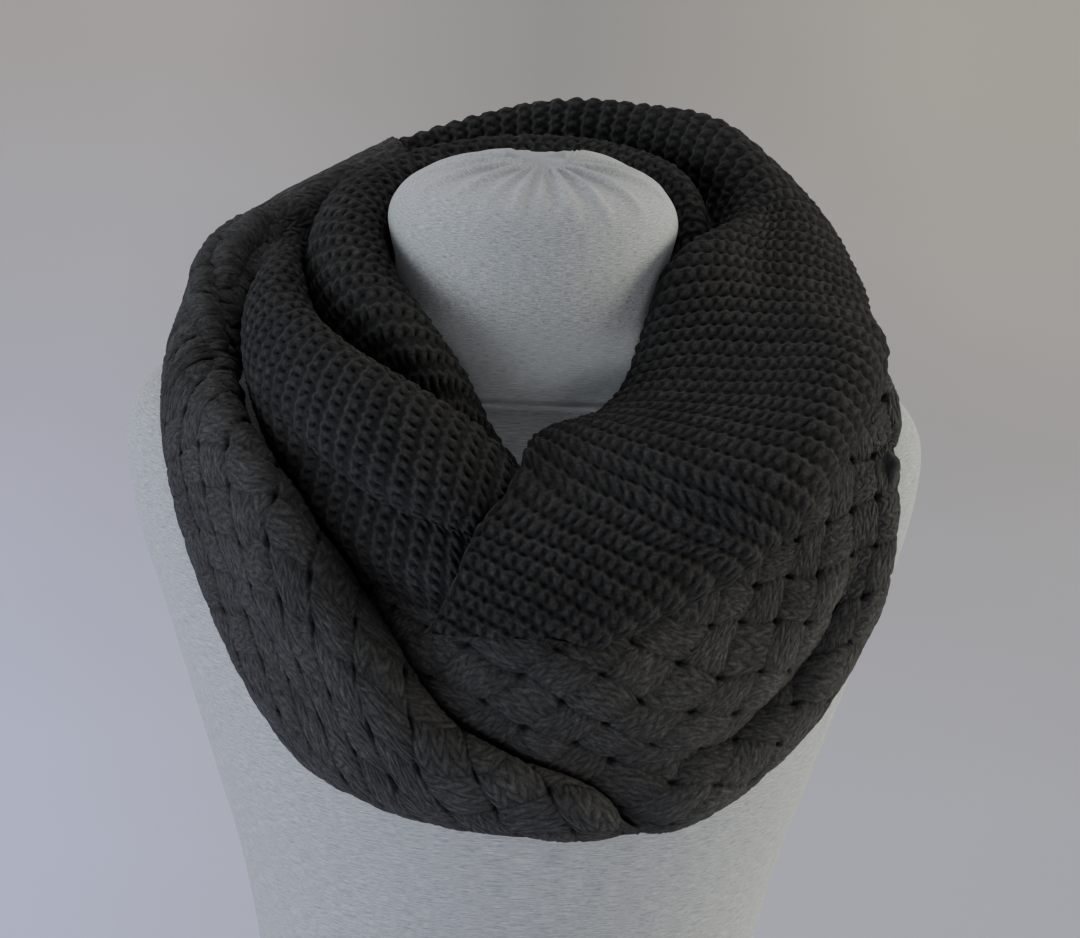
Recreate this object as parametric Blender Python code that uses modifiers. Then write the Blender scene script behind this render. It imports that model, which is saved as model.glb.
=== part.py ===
"""Chunky knitted infinity scarf, wound twice round a limbless dress form.

The scarf is modelled as it lies: each stretch that shows is one wall of knitted cloth, rolled
over lengthwise so that its two long edges curl under. Two stretches carry a raised basket-weave
cable, and three are plain garter stitch. The form is one closed body that stands on its flat base.

Frame: metres, +Z up, the form's front towards -Y, the origin under the middle of the whole object.
Every table is in millimetres and degrees. A section of cloth is placed round the neck's axis by
its angle (0 at the front, positive towards +X), its distance out from the axis, and its drop
below the rim of the neck.
"""

import math

import bmesh
import bpy
import numpy as np
from mathutils import Vector
from mathutils.bvhtree import BVHTree

MM = 0.001

# --- driving dimensions, millimetres -------------------------------------------------------------
RIM_HEIGHT = 652.0  # the base to the rim of the neck, from which every drop is measured
NECK_BACK = 5.0  # the neck's axis lies this far behind the origin
FORM_SIDES = 40  # points round each ring of the form
GARTER_WALL = 5.0  # one layer of chunky garter stitch
CABLE_WALL = 6.0  # the plain ground under the cables
CABLE_RAISE = 2.6  # how far a crossing strand stands above the ground
CABLE_FULL = CABLE_WALL + CABLE_RAISE
WEAVE_CELL = 22.5  # a strand's width: one hole of the basket weave to the next
WEAVE_ANGLE = 42.0  # the strands' angle to the stretch, degrees
STRAND_ROUND = 0.7  # a strand's cross section: 1 is a sine's hump, less is flatter
STRAND_DIP = 0.75  # how much of its height a strand loses where it dives under the next
END_FADE = 18.0  # how far from a stretch's cut end the cables reach full height
SIDE_FADE = 9.0  # the same, from its long edges
ROLL_SQUARE = 0.85  # the roll of a section: 1 is round, less is squarer
FOLD_ENDS = 0.7  # how a fold fades in and out along its length: less is more sudden

# How finely each stretch is divided: the spacing of its sections, and the points across each.
FINENESS = {
    "neck_roll": (17.0, 9),
    "chest_roll": (14.0, 14),
    "outer_roll": (15.0, 15),
    "drape_left": (7.8, 25),
    "drape_right": (8.8, 23),
}

# How a stretch settles on what lies under it.
REST_GAP = 1.8  # between a wall of cloth and what it lies on
PUSH_REACH = 14.0  # the deepest that a table's section may sink into what it lies on
OVER_IT = 0.7  # a point is over a surface if this much of its way there is straight down
SETTLE_ROUNDS = 24
SETTLED = 0.1  # a push shorter than this is left
PUSH_SPREAD = 0.8  # how much of a push its neighbours share
BEND_ANGLE = 60.0  # a sharper corner than this is an edge, degrees

# --- the dress form: rings from the top of the neck down -----------------------------------------
# Each ring is a squared ellipse (square is 2 for a true one), with its own depth in front and
# behind. The cap of the neck rises above its rim, so its first rings have a drop below zero.
RING_COLUMNS = ("drop", "half_width", "front", "back", "square")
FORM_RINGS = (
    (-8, 14, 12, 12, 2.0),
    (-6, 34, 30, 30, 2.0),
    (-1, 51, 45, 45, 2.0),
    (7, 62, 54, 54, 2.0),
    (20, 67, 58, 57, 2.0),
    (42, 63, 57, 57, 2.0),
    (56, 66, 56, 58, 2.0),
    (64, 84, 56, 61, 2.0),
    (72, 108, 58, 65, 2.0),
    (80, 131, 60, 69, 2.0),
    (88, 152, 63, 74, 2.1),
    (96, 169, 68, 79, 2.2),
    (106, 181, 75, 85, 2.3),
    (120, 187, 84, 91, 2.4),
    (142, 186, 93, 98, 2.5),
    (170, 180, 103, 103, 2.5),
    (205, 169, 114, 105, 2.4),
    (245, 157, 122, 104, 2.3),
    (285, 146, 120, 98, 2.2),
    (335, 133, 106, 88, 2.1),
    (390, 123, 94, 79, 2.1),
    (440, 120, 90, 77, 2.1),
    (500, 140, 99, 91, 2.1),
    (560, 161, 107, 106, 2.1),
    (610, 170, 109, 112, 2.1),
    (644, 170, 107, 112, 2.1),
    (650, 167, 104, 109, 2.1),
    (652, 162, 99, 104, 2.1),
)

# --- the stretches of cloth: a row for each section ----------------------------------------------
# angle is that of the inner edge, and swing is how far round from it the outer edge lies. Each
# section has three points: its inner edge, its crest and its outer edge. turn_in and turn_out
# say how far the cloth turns from the crest to each edge: 0 lies flat, 90 hangs, more curls under.
SECTION_COLUMNS = (
    "angle", "swing",
    "in_r", "in_drop", "top_r", "top_drop", "out_r", "out_drop",
    "turn_in", "turn_out",
)

# A fold runs from one place to another on a stretch, both given as shares of its length and of
# its width. width is half the trough's width, and depth is how far it sinks (less than 0 rises).
FOLD_COLUMNS = ("from", "to", "across_from", "across_to", "width", "depth")

NECK_ROLL = (
    (-2, 0, 86, 120, 91, 115, 97, 124, 100, 100),
    (-11, 0, 81, 112, 88, 101, 97, 116, 110, 110),
    (-21, 0, 76, 101, 86, 78, 97, 104, 118, 118),
    (-37, 0, 74, 86, 86, 53, 97, 86, 122, 122),
    (-60, 0, 72, 68, 85, 36, 96, 70, 125, 125),
    (-90, 0, 73, 54, 86, 20, 97, 58, 125, 125),
    (-120, 0, 77, 48, 89, 12, 100, 50, 125, 125),
    (-150, 0, 81, 44, 92, 6, 102, 46, 125, 125),
    (-180, 0, 82, 42, 92, 2, 101, 44, 125, 125),
    (-210, 0, 81, 42, 91, 4, 99, 44, 125, 125),
    (-235, 0, 79, 48, 86, 12, 93, 50, 120, 120),
    (-252, 0, 77, 60, 82, 30, 88, 62, 112, 112),
    (-264, 0, 76, 74, 79, 56, 83, 75, 105, 105),
)

CHEST_ROLL = (
    (14, 0, 96, 137, 105, 133, 114, 143, 90, 90),
    (4, 0, 102, 129, 120, 125, 130, 144, 98, 96),
    (-10, 0, 106, 109, 137, 100, 142, 153, 106, 104),
    (-25, 0, 109, 96, 144, 83, 137, 149, 112, 114),
    (-40, 0, 110, 87, 141, 69, 135, 130, 114, 116),
    (-58, 0, 109, 78, 132, 55, 131, 106, 116, 116),
    (-75, 0, 107, 68, 122, 45, 127, 86, 118, 114),
    (-92, 0, 105, 62, 114, 42, 120, 68, 112, 108),
)
CHEST_FOLDS = (
    (0.12, 0.62, 0.70, 0.72, 9, 13),
)

OUTER_ROLL = (
    (-148.7, 0, 125, 62, 138, 17, 154, 100, 112, 112),
    (-162, 0, 124, 61, 139, 11, 157, 107, 114, 113),
    (-180, 0, 119, 58, 136, 2, 156, 110, 118, 115),
    (-205, 0, 117, 56, 137, -2, 156, 106, 118, 118),
    (-228, 2, 112, 54, 137, 0, 155, 98, 118, 118),
    (-246, 7, 102, 48, 137, 13, 152, 82, 112, 118),
    (-260, 12, 90, 41, 131, 21, 149, 74, 104, 118),
    (-276, 18, 75, 34, 120, 29, 147, 70, 98, 118),
    (-294, 26, 70, 38, 113, 40, 147, 72, 95, 118),
    (-308, 29, 70, 62, 116, 52, 148, 76, 92, 122),
    (-320, 31, 74, 82, 123, 63, 146, 84, 90, 128),
    (-334, 34, 82, 92, 136, 74, 142, 95, 88, 130),
    (-355, 42, 92, 99, 153, 90, 137, 121, 78, 130),
    (-360.5, 40, 119, 107, 159, 103, 136, 133, 50, 130),
    (-366, 38, 147, 122, 165, 118, 135, 145, 30, 128),
    (-369, 30, 160, 146, 168, 144, 143, 153, 30, 112),
    (-372, 24, 163, 163, 165, 161, 150, 161, 40, 90),
)
OUTER_FOLDS = (
    (0.02, 0.34, 0.66, 0.60, 15, 6),
    (0.12, 0.40, 0.84, 0.88, 12, 5),
    (0.34, 0.62, 0.24, 0.40, 16, 6),
    (0.58, 0.84, 0.62, 0.72, 18, -4),
)

DRAPE_LEFT = (
    (-148, 0, 125, 62, 138, 17, 154, 100, 112, 112),
    (-134, 0, 124, 62, 136, 24, 151, 88, 114, 114),
    (-118, 0, 122, 62, 136, 31, 150, 78, 117, 117),
    (-100, 0, 125, 66, 141, 42, 155, 80, 105, 116),
    (-86, 0, 132, 76, 147, 60, 156, 88, 98, 108),
    (-80, 0, 134, 82, 150, 68, 160, 93, 96, 106),
    (-74, 0, 136, 90, 154, 77, 163, 106, 94, 106),
    (-68, 0, 139, 98, 159, 86, 163, 132, 92, 110),
    (-62, 0, 142, 105, 164, 95, 159, 164, 90, 114),
    (-52, 0, 147, 114, 169, 114, 150, 207, 92, 118),
    (-40, 0, 149, 130, 173, 144, 142, 239, 96, 118),
    (-25, 0, 153, 166, 174, 188, 137, 251, 84, 118),
    (-10, 0, 157, 211, 169, 227, 135, 256, 60, 116),
    (2, 0, 158, 227, 163, 240, 134, 259, 62, 112),
    (10, 0, 158, 236, 160, 248, 136, 262, 66, 104),
    (17, 0, 158, 246, 156, 255, 139, 264, 56, 94),
    (22, 0, 157, 254, 152, 261, 142, 265, 46, 84),
)
LEFT_FOLDS = (
    (0.16, 0.46, 0.34, 0.26, 7, 9),
    (0.45, 0.85, 0.62, 0.50, 22, 5),
)

DRAPE_RIGHT = (
    (-47, 0, 129, 156, 137, 176, 140, 198, 74, 80),
    (-38, 0, 124, 157, 132, 180, 136, 214, 78, 84),
    (-20, 0, 122, 154, 137, 180, 128, 236, 80, 92),
    (-4, 0, 122, 152, 146, 184, 123, 245, 80, 98),
    (12, 0, 122, 152, 151, 189, 125, 250, 66, 102),
    (18, 0, 122, 151, 153, 190, 129, 254, 58, 106),
    (25, 0, 122, 150, 155, 190, 137, 258, 50, 114),
    (32, 0, 122, 147, 156, 186, 139, 255, 46, 118),
    (40, 0, 123, 142, 156, 178, 139, 250, 44, 118),
    (52, 0, 127, 130, 158, 163, 150, 230, 42, 114),
    (60, 0, 130, 116, 161, 147, 158, 206, 44, 110),
    (66, 0, 131, 104, 163, 133, 166, 182, 48, 104),
    (71, 0, 131, 94, 161, 115, 171, 149, 54, 94),
    (76, 0, 130, 86, 156, 100, 171, 115, 62, 80),
    (81, 0, 130, 81, 151, 90, 168, 100, 66, 74),
    (88, 0, 130, 78, 147, 84, 163, 91, 68, 74),
    (96, 0, 128, 77, 145, 84, 161, 91, 70, 78),
    (104, 0, 124, 79, 145, 87, 160, 98, 70, 86),
    (113, 0, 120, 84, 146, 97, 160, 114, 72, 92),
    (122, 0, 117, 89, 148, 107, 155, 137, 75, 100),
    (150, 0, 112, 98, 146, 128, 136, 180, 80, 115),
    (180, 0, 112, 100, 144, 138, 130, 192, 80, 115),
    (205, 0, 114, 100, 146, 132, 136, 182, 80, 115),
    (222, 0, 118, 99, 145, 114, 147, 150, 78, 110),
    (238, 0, 120, 93, 136, 98, 145, 120, 75, 105),
    (250, 0, 123, 85, 133, 86, 143, 96, 70, 100),
)
RIGHT_FOLDS = (
    (0.16, 0.38, 0.66, 0.60, 9, 10),
    (0.38, 0.60, 0.45, 0.40, 24, 4),
    (0.62, 0.92, 0.56, 0.66, 13, 7),
)


# --- reading the tables --------------------------------------------------------------------------
def column(table, name):
    return np.array([row[SECTION_COLUMNS.index(name)] for row in table], float)


def smooth(stations, values, at):
    """A curve through values (rows at the given stations), read at other stations: Hermite with
    centred slopes, so that it bends softly and never swings far past a row."""
    slopes = np.gradient(values, stations, axis=0)
    k = np.clip(np.searchsorted(stations, at) - 1, 0, len(stations) - 2)
    step = stations[k + 1] - stations[k]
    t = (at - stations[k]) / step
    t, step = t[:, None], step[:, None]
    return (
        (2 * t**3 - 3 * t**2 + 1) * values[k]
        + (t**3 - 2 * t**2 + t) * step * slopes[k]
        + (3 * t**2 - 2 * t**3) * values[k + 1]
        + (t**3 - t**2) * step * slopes[k + 1]
    )


def placed(table, edge, turned):
    """The points of one edge of every section: its angle is turned by a share of the swing."""
    turn = np.radians(column(table, "angle") + turned * column(table, "swing"))
    radius, drop = column(table, edge + "_r"), column(table, edge + "_drop")
    return np.stack([radius * np.sin(turn), -radius * np.cos(turn), RIM_HEIGHT - drop], axis=-1)


def arch(turn_in, turn_out, fine=96):
    """One section as (share of the way from edge to edge, share of the crest's height): a part of
    a squared circle, from turn_in degrees before its crest to turn_out degrees after it."""
    turn = np.radians(np.linspace(-turn_in, turn_out, fine))
    along = np.sign(np.sin(turn)) * np.abs(np.sin(turn)) ** ROLL_SQUARE
    rise = np.sign(np.cos(turn)) * np.abs(np.cos(turn)) ** ROLL_SQUARE
    share = (along - along[0]) / (along[-1] - along[0])
    rise = rise - rise[0] - share * (rise[-1] - rise[0])
    return share, rise / rise.max()


def evenly(points, count):
    """The polyline through points, read at count points that are evenly spaced along it."""
    gone = np.concatenate([[0.0], np.cumsum(np.linalg.norm(np.diff(points, axis=0), axis=1))])
    at = np.linspace(0.0, gone[-1], count)
    return np.stack([np.interp(at, gone, points[:, k]) for k in range(3)], axis=1)


def cloth_grid(table, folds, spacing, across):
    """A stretch's inner face as a grid of points: sections about spacing apart along its length,
    with across points each, from the inner edge to the outer edge. The number of gaps between
    sections is even, so that every other one can be left out of a coarser face."""
    inner, crest, outer = placed(table, "in", 0), placed(table, "top", 0.5), placed(table, "out", 1)
    turns = np.stack([column(table, "turn_in"), column(table, "turn_out")], axis=1)
    steps = [np.linalg.norm(np.diff(path, axis=0), axis=1) for path in (inner, crest, outer)]
    gone = np.concatenate([[0.0], np.cumsum(np.max(steps, axis=0))])
    count = 2 * round(gone[-1] / spacing / 2) + 1
    at = np.linspace(0.0, gone[-1], count)
    inner, crest, outer, turns = (smooth(gone, v, at) for v in (inner, crest, outer, turns))
    grid = np.empty((count, across, 3))
    for i in range(count):
        share, rise = arch(*turns[i])
        height = crest[i] - (inner[i] + outer[i]) / 2
        section = inner[i] + share[:, None] * (outer[i] - inner[i]) + rise[:, None] * height
        grid[i] = evenly(section, across)
    return folded(grid, folds)


# --- working on a grid of cloth ------------------------------------------------------------------
def grid_normals(grid):
    """Unit normals at a grid's points, pointing out of the roll."""
    along, across = np.gradient(grid, axis=0), np.gradient(grid, axis=1)
    normals = np.cross(along, across)
    normals /= np.linalg.norm(normals, axis=2, keepdims=True)
    middle = grid.shape[1] // 2
    chord_middle = (grid[:, 0] + grid[:, -1]) / 2
    out = ((grid[:, middle] - chord_middle) * normals[:, middle]).sum()
    return normals if out > 0 else -normals


def distances(grid):
    """How far each point lies along its stretch, and across it from the middle of its width."""
    along = np.linalg.norm(np.diff(grid[:, grid.shape[1] // 2], axis=0), axis=1)
    along = np.concatenate([[0.0], np.cumsum(along)])
    across = np.linalg.norm(np.diff(grid, axis=1), axis=2)
    across = np.concatenate([np.zeros((len(grid), 1)), np.cumsum(across, axis=1)], axis=1)
    across -= across[:, -1:] / 2
    return np.repeat(along[:, None], grid.shape[1], axis=1), across


def folded(grid, folds):
    """The grid with its folds sunk or raised along its normals."""
    along, across = distances(grid)
    share = along / along[-1]
    sunk = np.zeros(along.shape)
    for row in folds:
        fold = dict(zip(FOLD_COLUMNS, row))
        gone = np.clip((share - fold["from"]) / (fold["to"] - fold["from"]), 0, 1)
        centre = fold["across_from"] + (fold["across_to"] - fold["across_from"]) * gone
        away = across - (centre - 0.5) * (across[:, -1:] - across[:, :1])
        fading = np.sin(np.pi * gone) ** FOLD_ENDS
        sunk += fold["depth"] * fading * np.exp(-((away / fold["width"]) ** 2))
    return grid - grid_normals(grid) * sunk[..., None]


def weave(along, across):
    """Height share of a basket-weave cable at distances in millimetres along and across the
    stretch: two sets of broad strands that cross, passing over and under each other."""
    turn = math.radians(WEAVE_ANGLE)
    p = (along / math.cos(turn) + across / math.sin(turn)) / (2 * WEAVE_CELL)
    q = (along / math.cos(turn) - across / math.sin(turn)) / (2 * WEAVE_CELL)
    over = (np.floor(p) + np.floor(q)) % 2 == 0
    hump_p, hump_q = np.abs(np.sin(np.pi * p)), np.abs(np.sin(np.pi * q))
    width, length = np.where(over, hump_p, hump_q), np.where(over, hump_q, hump_p)
    return width**STRAND_ROUND * (1 - STRAND_DIP + STRAND_DIP * length)


def cable_thickness(grid):
    """The wall's thickness at each point: the relief fades out before the stretch's edges."""
    along, across = distances(grid)
    to_end = np.minimum(along, along[-1] - along)
    to_side = np.minimum(across - across[:, :1], across[:, -1:] - across)
    fade = np.clip(to_end / END_FADE, 0, 1) * np.clip(to_side / SIDE_FADE, 0, 1)
    return CABLE_WALL + (CABLE_RAISE * fade * weave(along, across))[..., None]


# --- settling a stretch on what lies under it ----------------------------------------------------
def strip_faces(rows, columns, first=0):
    """Quads between neighbouring rows of a grid whose points are numbered row by row."""
    return [
        (first + i * columns + j, first + i * columns + j + 1,
         first + (i + 1) * columns + j + 1, first + (i + 1) * columns + j)
        for i in range(rows - 1)
        for j in range(columns - 1)
    ]


def top_surface(grid, thick):
    """A wall's outer face as a surface that more cloth can lie on."""
    faces = strip_faces(*grid.shape[:2])
    normals = grid_normals(grid)
    points = (grid + normals * thick).reshape(-1, 3)
    corner, next_one, _, last = (points[k] for k in faces[0])
    if np.cross(next_one - corner, last - corner).dot(normals[0, 0]) < 0:
        faces = [face[::-1] for face in faces]
    return BVHTree.FromPolygons([Vector(p) for p in points], faces)


def needed_push(points, under):
    """How far each point must move for it to lie REST_GAP above the surfaces under it."""
    push = np.zeros(points.shape)
    for at in np.ndindex(points.shape[:2]):
        for each in under:
            spot, normal, _, _ = each.find_nearest(Vector(points[at]), PUSH_REACH)
            if spot is None:
                continue
            away = Vector(points[at]) - spot
            height = away.dot(normal)
            sunk = REST_GAP - height
            if abs(height) > OVER_IT * away.length and sunk > np.linalg.norm(push[at]):
                push[at] = normal * sunk
    return push


def stronger(first, second):
    """Of two pushes at each point, the longer."""
    longer = np.linalg.norm(second, axis=2) > np.linalg.norm(first, axis=2)
    return np.where(longer[..., None], second, first)


def softened(push):
    """A push that fades out over its neighbours, so that the cloth bends and doesn't step."""
    spread = np.pad(push, ((1, 1), (1, 1), (0, 0)), mode="edge")
    around = (spread[:-2, 1:-1] + spread[2:, 1:-1] + spread[1:-1, :-2] + spread[1:-1, 2:]) / 4
    return stronger(push, around * PUSH_SPREAD)


def settled(grid, thick, under):
    """The grid of a wall's inner face, moved until both faces clear everything under it."""
    for _ in range(SETTLE_ROUNDS):
        outer = grid + grid_normals(grid) * thick
        push = stronger(needed_push(grid, under), needed_push(outer, under))
        if np.linalg.norm(push, axis=2).max() < SETTLED:
            break
        grid = grid + softened(push)
    return grid


# --- making the objects --------------------------------------------------------------------------
def new_object(name, collection, material, points, faces):
    mesh = bpy.data.meshes.new(name)
    moved = [Vector((x, y + NECK_BACK, z)) * MM for x, y, z in points]
    mesh.from_pydata(moved, [], faces)
    shell = bmesh.new()
    shell.from_mesh(mesh)
    bmesh.ops.recalc_face_normals(shell, faces=shell.faces)
    shell.to_mesh(mesh)
    shell.free()
    mesh.materials.append(material)
    mesh.shade_smooth()
    mesh.set_sharp_from_angle(angle=math.radians(BEND_ANGLE))
    made = bpy.data.objects.new(name, mesh)
    collection.objects.link(made)
    return made


def garter_stretch(name, collection, material, grid):
    """A wall of even thickness, from the open surface of its inner face."""
    made = new_object(name, collection, material, grid.reshape(-1, 3), strip_faces(*grid.shape[:2]))
    outward = made.data.polygons[0].normal.dot(Vector(grid_normals(grid)[0, 0])) > 0
    wall = made.modifiers.new("wall", "SOLIDIFY")
    wall.thickness = GARTER_WALL * MM
    wall.offset = 1.0 if outward else -1.0


def zipped(first_edge, second_edge):
    """Triangles between two rows of point numbers that run the same way and differ in count."""
    faces = []
    i = j = 0
    first_last, second_last = len(first_edge) - 1, len(second_edge) - 1
    while i < first_last or j < second_last:
        if j == second_last or (i < first_last and (i + 1) * second_last <= (j + 1) * first_last):
            faces.append((first_edge[i], first_edge[i + 1], second_edge[j]))
            i += 1
        else:
            faces.append((first_edge[i], second_edge[j + 1], second_edge[j]))
            j += 1
    return faces


def grid_border(rows, columns, first):
    """The four sides of a numbered grid, each as a row of point numbers."""
    number = first + np.arange(rows * columns).reshape(rows, columns)
    return [side.tolist() for side in (number[0], number[-1], number[:, 0], number[:, -1])]


def cable_stretch(name, collection, material, grid, thick):
    """The cables are raised in the outer face's points, over a plain inner face that has half as
    many points each way."""
    inner, outer = grid[::2, ::2], grid + grid_normals(grid) * thick
    first = inner.shape[0] * inner.shape[1]
    faces = strip_faces(*inner.shape[:2]) + strip_faces(*outer.shape[:2], first)
    for sides in zip(grid_border(*inner.shape[:2], 0), grid_border(*outer.shape[:2], first)):
        faces += zipped(*sides)
    points = np.concatenate([inner.reshape(-1, 3), outer.reshape(-1, 3)])
    new_object(name, collection, material, points, faces)


def ring(drop, half_width, front, back, square):
    """The points round one ring of the form."""
    turn = np.arange(FORM_SIDES) * 2 * np.pi / FORM_SIDES
    c, s = np.cos(turn), np.sin(turn)
    x = half_width * np.sign(c) * np.abs(c) ** (2 / square)
    y = np.where(s < 0, front, back) * np.sign(s) * np.abs(s) ** (2 / square)
    return np.stack([x, y, np.full(FORM_SIDES, RIM_HEIGHT - drop)], axis=1)


def form_shell():
    """The form's points and faces: a loft through its rings, closed at the cap and the base."""
    rings = np.array([ring(**dict(zip(RING_COLUMNS, row))) for row in FORM_RINGS])
    count, sides = rings.shape[:2]
    faces = [
        (i * sides + j, (i + 1) * sides + j,
         (i + 1) * sides + (j + 1) % sides, i * sides + (j + 1) % sides)
        for i in range(count - 1)
        for j in range(sides)
    ]
    faces.append(tuple(range(sides)))
    faces.append(tuple((count - 1) * sides + j for j in reversed(range(sides))))
    return rings.reshape(-1, 3), faces


def cloth_material(name, colour, roughness):
    material = bpy.data.materials.new(name)
    material.use_nodes = True
    shader = material.node_tree.nodes["Principled BSDF"]
    shader.inputs["Base Color"].default_value = (*colour, 1.0)
    shader.inputs["Roughness"].default_value = roughness
    shader.inputs["Metallic"].default_value = 0.0
    return material


def main():
    for old in list(bpy.data.objects):
        bpy.data.objects.remove(old)
    collection = bpy.data.collections.new("infinity_scarf_on_dress_form")
    bpy.context.scene.collection.children.link(collection)
    garter = cloth_material("charcoal_garter", (0.028, 0.027, 0.027), 0.9)
    cable = cloth_material("charcoal_cable", (0.030, 0.029, 0.029), 0.9)
    jersey = cloth_material("heather_grey_jersey", (0.42, 0.43, 0.45), 0.85)

    points, faces = form_shell()
    new_object("dress_form", collection, jersey, points, faces)
    body = BVHTree.FromPolygons([Vector(p) for p in points], faces)

    neck = cloth_grid(NECK_ROLL, (), *FINENESS["neck_roll"])
    neck = settled(neck, GARTER_WALL, [body])
    right = cloth_grid(DRAPE_RIGHT, RIGHT_FOLDS, *FINENESS["drape_right"])
    right = settled(right, CABLE_FULL, [body])
    under = [body, top_surface(neck, GARTER_WALL), top_surface(right, CABLE_FULL)]
    chest = cloth_grid(CHEST_ROLL, CHEST_FOLDS, *FINENESS["chest_roll"])
    chest = settled(chest, GARTER_WALL, under)
    under.append(top_surface(chest, GARTER_WALL))
    left = cloth_grid(DRAPE_LEFT, LEFT_FOLDS, *FINENESS["drape_left"])
    left = settled(left, CABLE_FULL, under)
    outer = cloth_grid(OUTER_ROLL, OUTER_FOLDS, *FINENESS["outer_roll"])
    outer = settled(outer, GARTER_WALL, under)

    garter_stretch("neck_roll", collection, garter, neck)
    garter_stretch("chest_roll", collection, garter, chest)
    garter_stretch("outer_roll", collection, garter, outer)
    cable_stretch("drape_left", collection, cable, left, cable_thickness(left))
    cable_stretch("drape_right", collection, cable, right, cable_thickness(right))


main()
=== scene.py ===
"""Looks of a chunky knitted infinity scarf on its dress form.

Each stretch of cloth is laid from the same sections as its solid, then divided finely, and its
stitches are raised in the mesh: garter ridges, or a basket-weave cable with its small holes.
Lengths are in millimetres until a mesh is made.
"""

import math

import bpy
import numpy as np
from mathutils import Matrix, Vector
from mathutils.bvhtree import BVHTree


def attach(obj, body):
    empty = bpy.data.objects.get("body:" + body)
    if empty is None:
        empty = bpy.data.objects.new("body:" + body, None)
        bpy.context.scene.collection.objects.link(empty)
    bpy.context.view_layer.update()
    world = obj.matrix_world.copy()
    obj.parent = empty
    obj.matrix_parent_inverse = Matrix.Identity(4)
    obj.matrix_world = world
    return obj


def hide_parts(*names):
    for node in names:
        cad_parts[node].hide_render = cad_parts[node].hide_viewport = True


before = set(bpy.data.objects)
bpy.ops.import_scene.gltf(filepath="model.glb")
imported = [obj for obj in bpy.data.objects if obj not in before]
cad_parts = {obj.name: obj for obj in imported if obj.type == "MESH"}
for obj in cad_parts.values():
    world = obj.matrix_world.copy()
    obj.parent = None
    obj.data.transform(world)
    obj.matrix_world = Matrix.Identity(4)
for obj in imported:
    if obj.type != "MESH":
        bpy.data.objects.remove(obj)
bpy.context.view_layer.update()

MM = 0.001

# --- driving dimensions, millimetres ---
RIM_HEIGHT = 652.0  # the base to the rim of the neck, from which every drop is measured
NECK_BACK = 5.0  # the neck's axis lies this far behind the origin
FORM_SIDES = 40  # points round each ring of the form that the cloth settles on
GARTER_WALL = 5.0  # one layer of chunky garter stitch
CABLE_WALL = 6.6  # the ground of the cables
CABLE_FULL = 8.6  # the cables' wall where it is thickest, which settles on the cloth under it
WEAVE_CELL = 22.5  # a strand's width: one hole of the basket weave to the next
ROLL_SQUARE = 0.85  # the roll of a section: 1 is round, less is squarer
FOLD_ENDS = 0.7  # how a fold fades in and out along its length: less is more sudden

# How a stretch settles on what lies under it.
REST_GAP = 1.8  # between a wall of cloth and what it lies on
PUSH_REACH = 14.0  # the deepest that a table's section may sink into what it lies on
OVER_IT = 0.7  # a point is over a surface if this much of its way there is straight down
SETTLE_ROUNDS = 24
SETTLED = 0.1  # a push shorter than this is left
PUSH_SPREAD = 0.8  # how much of a push its neighbours share

# --- the dress form: rings from the top of the neck down ---
# Each ring is a squared ellipse: its drop, half its width, its depth in front and behind, and how
# square it is (2 is a true ellipse).
FORM_RINGS = (
    (-8, 14, 12, 12, 2.0),
    (-6, 34, 30, 30, 2.0),
    (-1, 51, 45, 45, 2.0),
    (7, 62, 54, 54, 2.0),
    (20, 67, 58, 57, 2.0),
    (42, 63, 57, 57, 2.0),
    (56, 66, 56, 58, 2.0),
    (64, 84, 56, 61, 2.0),
    (72, 108, 58, 65, 2.0),
    (80, 131, 60, 69, 2.0),
    (88, 152, 63, 74, 2.1),
    (96, 169, 68, 79, 2.2),
    (106, 181, 75, 85, 2.3),
    (120, 187, 84, 91, 2.4),
    (142, 186, 93, 98, 2.5),
    (170, 180, 103, 103, 2.5),
    (205, 169, 114, 105, 2.4),
    (245, 157, 122, 104, 2.3),
    (285, 146, 120, 98, 2.2),
    (335, 133, 106, 88, 2.1),
    (390, 123, 94, 79, 2.1),
    (440, 120, 90, 77, 2.1),
    (500, 140, 99, 91, 2.1),
    (560, 161, 107, 106, 2.1),
    (610, 170, 109, 112, 2.1),
    (644, 170, 107, 112, 2.1),
    (650, 167, 104, 109, 2.1),
    (652, 162, 99, 104, 2.1),
)

# --- the stretches of cloth: a row for each section ---
# angle is that of the inner edge, and swing is how far round from it the outer edge lies. Each
# section has three points: its inner edge, its crest and its outer edge. turn_in and turn_out
# say how far the cloth turns from the crest to each edge: 0 lies flat, 90 hangs, more curls under.
SECTION_COLUMNS = (
    "angle", "swing",
    "in_r", "in_drop", "top_r", "top_drop", "out_r", "out_drop",
    "turn_in", "turn_out",
)

# A fold runs from one place to another on a stretch, both given as shares of its length and of
# its width. width is half the trough's width, and depth is how far it sinks (less than 0 rises).
FOLD_COLUMNS = ("from", "to", "across_from", "across_to", "width", "depth")

NECK_ROLL = (
    (-2, 0, 86, 120, 91, 115, 97, 124, 100, 100),
    (-11, 0, 81, 112, 88, 101, 97, 116, 110, 110),
    (-21, 0, 76, 101, 86, 78, 97, 104, 118, 118),
    (-37, 0, 74, 86, 86, 53, 97, 86, 122, 122),
    (-60, 0, 72, 68, 85, 36, 96, 70, 125, 125),
    (-90, 0, 73, 54, 86, 20, 97, 58, 125, 125),
    (-120, 0, 77, 48, 89, 12, 100, 50, 125, 125),
    (-150, 0, 81, 44, 92, 6, 102, 46, 125, 125),
    (-180, 0, 82, 42, 92, 2, 101, 44, 125, 125),
    (-210, 0, 81, 42, 91, 4, 99, 44, 125, 125),
    (-235, 0, 79, 48, 86, 12, 93, 50, 120, 120),
    (-252, 0, 77, 60, 82, 30, 88, 62, 112, 112),
    (-264, 0, 76, 74, 79, 56, 83, 75, 105, 105),
)

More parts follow.
